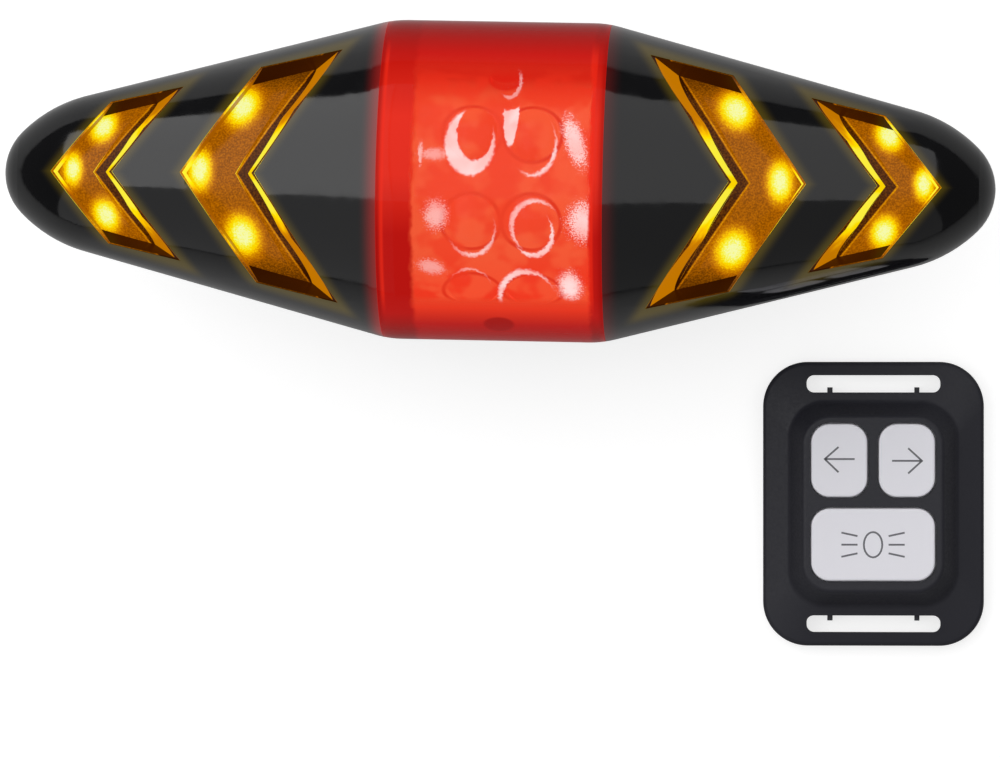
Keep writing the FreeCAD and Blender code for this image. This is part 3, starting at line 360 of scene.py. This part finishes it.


# The IOR is set low, so that the mirrored studio doesn't wash out the painted glow that stands in for the
# lamps' light
def painted_glow_optics():
    material, tree, shader = start_material("painted_glow_red_acrylic", {
        "Base Color": srgb("#6a0c06"), "IOR": 1.2, "Roughness": 0.1})
    point, _, y, _ = lens_point(tree, optics_middle)
    cloud = add(tree, "TexNoise", {"Vector": point, "Scale": 1 / acrylic_cloud_size, "Detail": 2.0})["Fac"]
    # Painted light: the glow is brighter in a middle band and darker at the top and the foot
    lit = ease(tree, (y, *lit_crown_step), (y, *lit_foot_step))
    deep = join(tree, "ADD", (ease(tree, (cloud, *deep_cloud_step)), ease(tree, (y, *deep_foot_step))))
    lasers = join(tree, "MAXIMUM", [
        ease(tree, (from_place(tree, point, *place), *laser_step)) for place in laser_places])
    white = paint(tree, srgb("#fff6f5"), (ease(tree, (cloud, *pink_cloud_step)), srgb("#ffcfca")))
    # Painted light: the glow, redder in clouds and at the foot, darker on the laser windows, with seam
    # shade and glints
    light = paint(tree, srgb("#c4140c"), (lit, srgb("#ea5c38")), (deep, srgb("#e2301c")),
                  (lasers, srgb("#cc160e")), (dome_seam_shade(tree, point, cloud), srgb("#c81c0e")),
                  (glint_light(tree, point), white))
    feed(tree, shader, {"Emission Color": light, "Emission Strength": 0.98})
    return material


dress(painted_glow_optics(), "optics_plate")


# Red lens: a clear red polycarbonate band, moulded smooth inside and out.
# A clear window shows the optics plate. Round it are frosted borders, where the lamps' light spread through
# them is painted into the emission as red, darker towards the top and the foot. There is a painted
# highlight as a bright strip on each side of the window, a dark stud painted at its foot, and painted shade
# towards the lens's ends.
window_left_step = (-13.6, -12.5)
window_right_step = (17.3, 16.4)
window_foot_step = (-21.7, -19.6)
window_crown_step = (20.5, 15.5)
window_wander = 1.2
wander_size = 2.0
border_cover = 0.97
window_cover = 0.1
lens_reach = 27.5
rim_shade_step = (17.9, 19.0, 0.0, 0.7)
left_strip = -18.1
left_strip_step = (0.55, 0.1)
right_strip = 17.0
right_strip_step = (0.8, 0.3)
strip_end_step = (24.0, 19.0, 0.0, 0.6)
stud_oval = (1.3, -24.6, 2.7, 1.2)
stud_step = (1.1, 0.8, 0.0, 0.75)


# The IOR is set low, so that the window mirrors no more of the studio than the real one does
def red_polycarbonate():
    material, tree, shader = start_material("red_polycarbonate", {
        "Base Color": srgb("#5a0402"), "IOR": 1.13, "Roughness": 0.05})
    point, x, y, _ = lens_point(tree)
    wave = add(tree, "TexNoise", {"Vector": point, "Scale": 1 / wander_size, "Detail": 2.0})["Fac"]
    wander = add(tree, "Math", (wave, window_wander, -window_wander / 2), operation="MULTIPLY_ADD")[0]
    edge_x = join(tree, "ADD", (x, wander))
    edge_y = join(tree, "ADD", (y, wander))
    sides = ease(tree, (edge_x, *window_left_step), (edge_x, *window_right_step))
    ends = ease(tree, (y, *window_foot_step), (edge_y, *window_crown_step))
    window = join(tree, "MULTIPLY", (sides, ends))
    # Painted light: the glow of the borders and the window is darker towards the top and the foot
    height = add(tree, "MapRange", (y, -lens_reach, lens_reach))[0]
    border = add(tree, "ValToRGB", (height,), stops=(
        (0.0, "#5c0504"), (0.08, "#b01410"), (0.32, "#b01410"), (0.5, "#dc2c1c"), (0.68, "#e02e1e"),
        (0.88, "#b4120c"), (1.0, "#520504")))[0]
    clear = add(tree, "ValToRGB", (height,), stops=(
        (0.0, "#7c0a08"), (0.05, "#b01410"), (0.1, "#e6381f"), (0.16, "#ec5230"), (0.7, "#ea4428"),
        (0.88, "#c01610"), (1.0, "#5a0504")))[0]
    # Painted highlights: a bright strip on each side of the window
    left = ease(tree, (apart(tree, x, left_strip), *left_strip_step))
    right = ease(tree, (apart(tree, x, right_strip), *right_strip_step))
    highlight_strips = join(tree, "MULTIPLY", (
        join(tree, "MAXIMUM", (left, right)), ease(tree, (apart(tree, y, 0.0), *strip_end_step))))
    stud = ease(tree, (oval(tree, point, *stud_oval), *stud_step))
    # Painted shade: darker red towards the lens's ends, next to the housing
    rim = ease(tree, (apart(tree, x, 0.0), *rim_shade_step))
    red = paint(tree, border, (sides, clear), (highlight_strips, srgb("#ee2c18")), (stud, srgb("#8c0806")),
                (rim, srgb("#8a0705")))
    feed(tree, shader, {
        "Emission Color": red, "Emission Strength": 0.93,
        "Alpha": ease(tree, (window, 0.0, 1.0, border_cover, window_cover))})
    return material


dress(red_polycarbonate(), "red_lens")


# Amber cups: four chevron windows of amber acrylic, each lit by three lamps behind its floor.
# Their light is painted into the emission. The wall on the notch side gets the most painted light, a
# channel runs at its foot in painted brown shade, and the floor has a fine grain under painted pools of
# light round the lamps.

# Each cup has its side, its lamps, the slant of its arms, its notch and the size of its spots
inner_slant = 0.67  # how far a chevron's arms run back along the light for each mm across it
outer_slant = 0.79
inner_notch = 40.0
outer_notch = 64.9
inner_spot = 5.2
outer_spot = 4.2
tip_spot_shares = (0.66, 1.08)  # a spot's half width and half height, as shares of its size
arm_spot_shares = (0.86, 1.08)
arm_spot_turn = 26.0
spot_step = (1.0, 0.12, 0.0, 0.62)
floor_grain = 0.3125
floor_grain_step = (0.3, 0.75, 0.31, 0.46)
# Painted shade at the arms' ends and in the channel, and a painted highlight on the channel's edge line
arm_end_shares = (2.4, 3.7)  # where the arms' ends get dark, as shares of a spot's size
arm_end_shade_levels = (0.0, -0.17)
channel_width = 3.5
channel_soft = 0.4
channel_shade_levels = (0.0, -0.21)
channel_highlight_line = 3.45
channel_highlight_step = (0.3, 0.08, 0.0, 0.16)
streak_size = 2.86
streak_reach = 5.0
notch_streak_step = (14.0, 8.0, 0.48, 0.86)
notch_corner_step = (1.6, 0.4, 0.0, -0.12)
notch_facing_step = (0.25, 0.45)
tip_corner_step = (4.5, 1.0, 0.34, 0.84)
tip_facing_step = (-0.25, -0.45)
end_wall_step = (0.75, 0.9)
end_wall_shade_level = 0.12
upright_step = (0.88, 0.76)
amber_cups = (
    ("right_inner", 1, ((40.8, 12.44), (48.55, 0.31), (40.8, -11.28)), inner_slant, inner_notch,
     inner_spot),
    ("left_inner", -1, ((-42.95, 11.43), (-49.81, 0.52), (-42.4, -10.34)), inner_slant, inner_notch,
     inner_spot),
    ("right_outer", 1, ((66.7, 8.69), (72.8, 0.59), (66.2, -7.64)), outer_slant, outer_notch, outer_spot),
    ("left_outer", -1, ((-67.16, 7.75), (-72.12, 0.44), (-66.42, -7.28)), outer_slant, outer_notch,
     outer_spot))


def lamp_spots(tree, point, spots, size):
    glows = []
    for x, y in spots:
        at_tip = abs(y) < 1.0
        shares = tip_spot_shares if at_tip else arm_spot_shares
        turn = 0.0 if at_tip else math.copysign(arm_spot_turn, x * y)
        away = oval(tree, point, x, y, shares[0] * size, shares[1] * size, turn)
        glows.append(ease(tree, (away, *spot_step)))
    return join(tree, "MAXIMUM", glows)


# The floor's painted light: its grain and painted pools round its lamps, with painted shade at the arms'
# ends and in the channel, and a painted highlight on the line along the channel's edge
def cup_floor(tree, point, across, place, spots, notch, size):
    speck = add(tree, "TexNoise", {"Vector": point, "Scale": 1 / floor_grain, "Detail": 3.0})["Fac"]
    arm_end = [share * size for share in arm_end_shares]
    channel = notch + channel_width
    return join(tree, "ADD", (
        ease(tree, (speck, *floor_grain_step)),
        lamp_spots(tree, point, spots, size),
        ease(tree, (across, *arm_end, *arm_end_shade_levels)),
        ease(tree, (place, channel, channel - channel_soft, *channel_shade_levels)),
        ease(tree, (apart(tree, place, notch + channel_highlight_line), *channel_highlight_step))))


# The walls' painted light: bright on the notch side, fading along the arms in streaks, less bright
# on the tip side, and painted shade at the arms' ends
def cup_walls(tree, point, across, normal, side):
    normal_x, normal_y, _ = add(tree, "SeparateXYZ", (normal,))
    facing = add(tree, "Math", (normal_x, side), operation="MULTIPLY")[0]
    streak = add(tree, "TexNoise", {"Vector": point, "Scale": 1 / streak_size, "Detail": 2.0})["Fac"]
    streaked = add(tree, "Math", (streak, streak_reach, across), operation="MULTIPLY_ADD")[0]
    notch_side = join(tree, "ADD", (
        ease(tree, (streaked, *notch_streak_step)), ease(tree, (across, *notch_corner_step))))
    notch_side = join(tree, "MULTIPLY", (notch_side, ease(tree, (facing, *notch_facing_step))))
    tip_side = ease(tree, (across, *tip_corner_step), (facing, *tip_facing_step))
    turned = apart(tree, normal_y, 0.0)
    long_walls = join(tree, "MULTIPLY", (
        join(tree, "ADD", (notch_side, tip_side)), ease(tree, (turned, *end_wall_step, 1.0, 0.0))))
    return join(tree, "ADD", (long_walls, ease(tree, (turned, *end_wall_step, 0.0, end_wall_shade_level))))


# Where the surface faces outward it is the floor, and where it stands upright it is a wall.
# The IOR is set low here too, so that the mirrored studio doesn't wash out the painted light.
def lit_amber(name, side, spots, slant, notch, size):
    material, tree, shader = start_material(name, {
        "Base Color": srgb("#1e0e00"), "IOR": 1.2, "Roughness": 0.3})
    point, x, y, z = lens_point(tree)
    normal = add(tree, "NewGeometry")["Normal"]
    across = apart(tree, y, 0.0)
    along = add(tree, "Math", (x, side), operation="MULTIPLY")[0]
    place = add(tree, "Math", (across, slant, along), operation="MULTIPLY_ADD")[0]
    outward = add(tree, "CombineXYZ", {"Y": y, "Z": z})[0]
    outward = add(tree, "VectorMath", (outward,), operation="NORMALIZE")[0]
    facing_out = add(tree, "VectorMath", (outward, normal), operation="DOT_PRODUCT")["Value"]
    walls = join(tree, "MULTIPLY", (
        cup_walls(tree, point, across, normal, side), ease(tree, (facing_out, *upright_step))))
    floor = join(tree, "MULTIPLY", (
        cup_floor(tree, point, across, place, spots, notch, size),
        ease(tree, (facing_out, *upright_step, 1.0, 0.0))))
    amber = add(tree, "ValToRGB", (join(tree, "ADD", (walls, floor)),), stops=(
        (0.0, "#2a0b00"), (0.12, "#3a1500"), (0.26, "#6e3a00"), (0.42, "#b46400"), (0.56, "#d88c00"),
        (0.68, "#ffc400"), (0.80, "#ffe600"), (0.90, "#fcf850"), (1.0, "#fbffb0")))[0]
    feed(tree, shader, {"Emission Color": amber, "Emission Strength": 0.95})
    return material


for cup, *facts in amber_cups:
    dress(lit_amber("lit_amber_" + cup, *facts), "amber_lens_" + cup)


# Housing: two shells of gloss black ABS, injection moulded in a polished tool.
# They mirror the studio with a faint orange peel. Painted light in their emission, an amber and a red glow,
# stands in for the lamps inside lighting the plastic round the windows and next to the lens.

# A painted halo of light follows the windows' slant, and has its middle, half width and the level of its
# feet
orange_peel_size = 3.03
halos = ((inner_slant, 46.7, 6.4, 7.5), (outer_slant, 70.3, 5.5, 5.0))
halo_reaches = (2.6, -0.2)  # a halo starts this far outside its window and is full inside its rim
halo_rise = 4.5
halo_fall = 1.7
red_end_step = (22.4, 18.6)
red_side_step = (1.0, -1.0, 0.16, 0.62)
red_foot_step = (-2.0, 8.0)
red_fall = 1.6


def amber_halo(tree, along, across, z):
    glows = []
    for slant, middle, half_width, foot in halos:
        place = add(tree, "Math", (across, slant, along), operation="MULTIPLY_ADD")[0]
        edge = [half_width + reach for reach in halo_reaches]
        glows.append(ease(tree, (apart(tree, place, middle), *edge), (z, foot, foot + halo_rise)))
    return add(tree, "Math", (join(tree, "MAXIMUM", glows), halo_fall), operation="POWER")[0]


def gloss_abs():
    material, tree, shader = start_material("gloss_black_abs", {"Base Color": srgb("#08080a"), "IOR": 1.5})
    grain(tree, shader, orange_peel_size, (0.07, 0.12), strength=0.035, height=0.4, detail=1.0)
    _, x, y, z = lens_point(tree)
    along = apart(tree, x, 0.0)
    halo = amber_halo(tree, along, apart(tree, y, 0.0), z)
    # Painted light: a red glow on the shell next to the lens, stronger on the left side
    edge = add(tree, "Math", (ease(tree, (along, *red_end_step)), red_fall), operation="POWER")[0]
    glow = join(tree, "MULTIPLY", (edge, ease(tree, (x, *red_side_step), (z, *red_foot_step))))
    amber = paint(tree, srgb("#000000"), (halo, srgb("#463a00")))
    red = paint(tree, srgb("#000000"), (glow, srgb("#a81812")))
    light = add(tree, "VectorMath", (amber, red), operation="ADD")[0]
    feed(tree, shader, {"Emission Color": light, "Emission Strength": 1.0})
    return material


dress(gloss_abs(), "front_housing", "back_housing")


# Remote keys: pale grey ABS caps with a silky face, and thin symbols printed on them in grey ink.
# The left and right keys have arrows, and the wide key has a lamp with rays.
# A symbol's points are in mm from the remote's middle, with the keys upright.
remote_low, remote_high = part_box("remote_top_case")
remote_middle = (remote_low + remote_high) / 2
remote_turn = 1.17
key_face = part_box("light_button")[1].z
ink_width = 0.32
ink_proud = 0.02
weld_distance = 0.001
left_arrow = (((-3.2, 7.9), (-8.3, 7.9)), ((-6.0, 10.0), (-8.4, 7.9), (-6.0, 5.6)))
right_arrow = (((3.3, 7.6), (8.4, 7.6)), ((6.1, 9.8), (8.5, 7.6), (6.1, 5.4)))
lamp_level = -7.0
lamp_half_width = 1.6
lamp_half_height = 2.2
lamp_sides = 24
ray_start = (2.7, 1.5)
ray_end = (5.5, 2.1)

dress(moulded("pale_grey_abs", "#f2f1f8", size=0.625, rough=(0.4, 0.5), strength=0.05, height=0.05),
      "left_button", "right_button", "light_button")
grey_ink = moulded("grey_ink", "#6c6c72", size=0.4, rough=(0.5, 0.6), strength=0.05, height=0.02)


# A flat strip of ink along a path, with mitred corners
def ink_strip(sheet, path):
    spots = [Vector(spot) for spot in path]
    closed = path[0] == path[-1]
    first = spots[-2] if closed else 2 * spots[0] - spots[1]
    last = spots[1] if closed else 2 * spots[-1] - spots[-2]
    sides = []
    for before, spot, after in zip([first] + spots, spots, spots[1:] + [last]):
        into = (spot - before).normalized()
        way = (into + (after - spot).normalized()).normalized()
        sides.append(Vector((-way.y, way.x)) * ink_width / 2 / way.dot(into))
    edges = []
    for sign in (1, -1):
        line = [sheet.verts.new((*(spot + sign * side), -ink_proud)) for spot, side in zip(spots, sides)]
        edges += [sheet.edges.new(pair) for pair in zip(line, line[1:])]
    bmesh.ops.bridge_loops(sheet, edges=edges)


def print_symbol(name, body, paths):
    sheet = bmesh.new()
    for path in paths:
        ink_strip(sheet, path)
    bmesh.ops.remove_doubles(sheet, verts=sheet.verts, dist=weld_distance)
    raised = bmesh.ops.extrude_face_region(sheet, geom=sheet.faces[:])["geom"]
    top = [part for part in raised if isinstance(part, bmesh.types.BMVert)]
    bmesh.ops.translate(sheet, vec=(0, 0, 2 * ink_proud), verts=top)
    bmesh.ops.recalc_face_normals(sheet, faces=sheet.faces)
    turn = Matrix.Rotation(math.radians(remote_turn), 4, "Z")
    place = Matrix.Translation((remote_middle.x, remote_middle.y, key_face)) @ turn @ Matrix.Scale(mm, 4)
    bmesh.ops.transform(sheet, matrix=place, verts=sheet.verts)
    mesh = bpy.data.meshes.new(name)
    sheet.to_mesh(mesh)
    sheet.free()
    mesh.materials.append(grey_ink)
    piece = bpy.data.objects.new(name, mesh)
    bpy.context.collection.objects.link(piece)
    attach(piece, body)


turns = [math.tau * step / lamp_sides for step in range(lamp_sides)]
lamp_outline = [(lamp_half_width * math.cos(t), lamp_level + lamp_half_height * math.sin(t)) for t in turns]
rays = [[(side * x, lamp_level + step * y) for x, y in (ray_start, ray_end)]
        for side in (1, -1) for step in (1, 0, -1)]
print_symbol("left_arrow_print", "left_button", left_arrow)
print_symbol("right_arrow_print", "right_button", right_arrow)
print_symbol("lamp_print", "light_button", [lamp_outline + lamp_outline[:1]] + rays)


# Studio: a pale matte floor that stays white where no shadow falls, and five soft boxes round
# the light, which its gloss shells mirror. Sizes are in metres.
floor_half_size = 3.0
floor_drop = 0.0002
floor_glow = 0.72
box_distance = 0.6
front_lean = 26.5
front_height = 1.14
back_lean = -54.0
back_height = 0.9
arm_span = (12, 50)
middle_span = (-11, 11)
back_span = (8, 50)
world_light = 0.09


def lay_floor():
    sheet = bmesh.new()
    bmesh.ops.create_grid(sheet, x_segments=1, y_segments=1, size=floor_half_size)
    bmesh.ops.translate(sheet, vec=(0, 0, -floor_drop), verts=sheet.verts)
    mesh = bpy.data.meshes.new("floor")
    sheet.to_mesh(mesh)
    sheet.free()
    floor = bpy.data.objects.new("floor", mesh)
    bpy.context.collection.objects.link(floor)
    material, tree, shader = start_material("white_floor", {
        "Base Color": srgb("#bcbcbc"), "Roughness": 0.9, "Specular IOR Level": 0.0,
        "Emission Color": srgb("#ffffff")})
    seen = add(tree, "LightPath")["Is Camera Ray"]
    glow = add(tree, "Math", (seen, floor_glow), operation="MULTIPLY")[0]
    feed(tree, shader, {"Emission Strength": glow})
    mesh.materials.append(material)


# A soft box leans round the light's axis by an angle. On one side it spans between two angles
# along the light.
def soft_box(name, lean, height, side, span, radiance):
    start, end = [box_distance * math.tan(math.radians(angle)) for angle in span]
    light = bpy.data.lights.new(name, "AREA")
    light.shape = "RECTANGLE"
    light.size = end - start
    light.size_y = height
    light.energy = radiance * math.pi * light.size * light.size_y
    lamp = bpy.data.objects.new(name, light)
    bpy.context.collection.objects.link(lamp)
    tilt = math.radians(lean)
    out = Vector((side * (start + end) / 2, math.sin(tilt) * box_distance, math.cos(tilt) * box_distance))
    lamp.location = lens_axis + out
    lamp.rotation_euler = (-tilt, 0, 0)
    lamp.visible_camera = False


lay_floor()
soft_box("left_soft_box", front_lean, front_height, -1, arm_span, radiance=2.0)
soft_box("right_soft_box", front_lean, front_height, 1, arm_span, radiance=0.95)
soft_box("top_soft_box", front_lean, front_height, 1, middle_span, radiance=1.3)
soft_box("left_fill", back_lean, back_height, -1, back_span, radiance=0.48)
soft_box("right_fill", back_lean, back_height, 1, back_span, radiance=0.2)

world = bpy.data.worlds.new("studio_world")
bpy.context.scene.world = world
world.use_nodes = True
feed(world.node_tree, world.node_tree.nodes["Background"], {
    "Color": srgb("#ffffff"), "Strength": world_light})


# Camera: almost straight above, turned a little so that the light's right end sits lower and
# the remote stands upright in the picture. Sizes are in metres.
camera_target = Vector((0.00094, -0.00774, 0.0326))
camera_distance = 1.2
picture_width = 0.1714
camera_yaw = 3.5
sensor_width = 36.0


def place_camera():
    data = bpy.data.cameras.new("camera")
    data.sensor_width = sensor_width
    data.lens = sensor_width * camera_distance / picture_width
    data.clip_end = 10.0
    camera = bpy.data.objects.new("camera", data)
    bpy.context.collection.objects.link(camera)
    yaw = Matrix.Rotation(math.radians(camera_yaw), 4, "Y")
    roll = Matrix.Rotation(math.radians(remote_turn), 4, "Z")
    back = Matrix.Translation((0, 0, camera_distance))
    camera.matrix_world = Matrix.Translation(camera_target) @ yaw @ roll @ back
    bpy.context.scene.camera = camera


place_camera()
bpy.context.scene.view_settings.view_transform = "Standard"
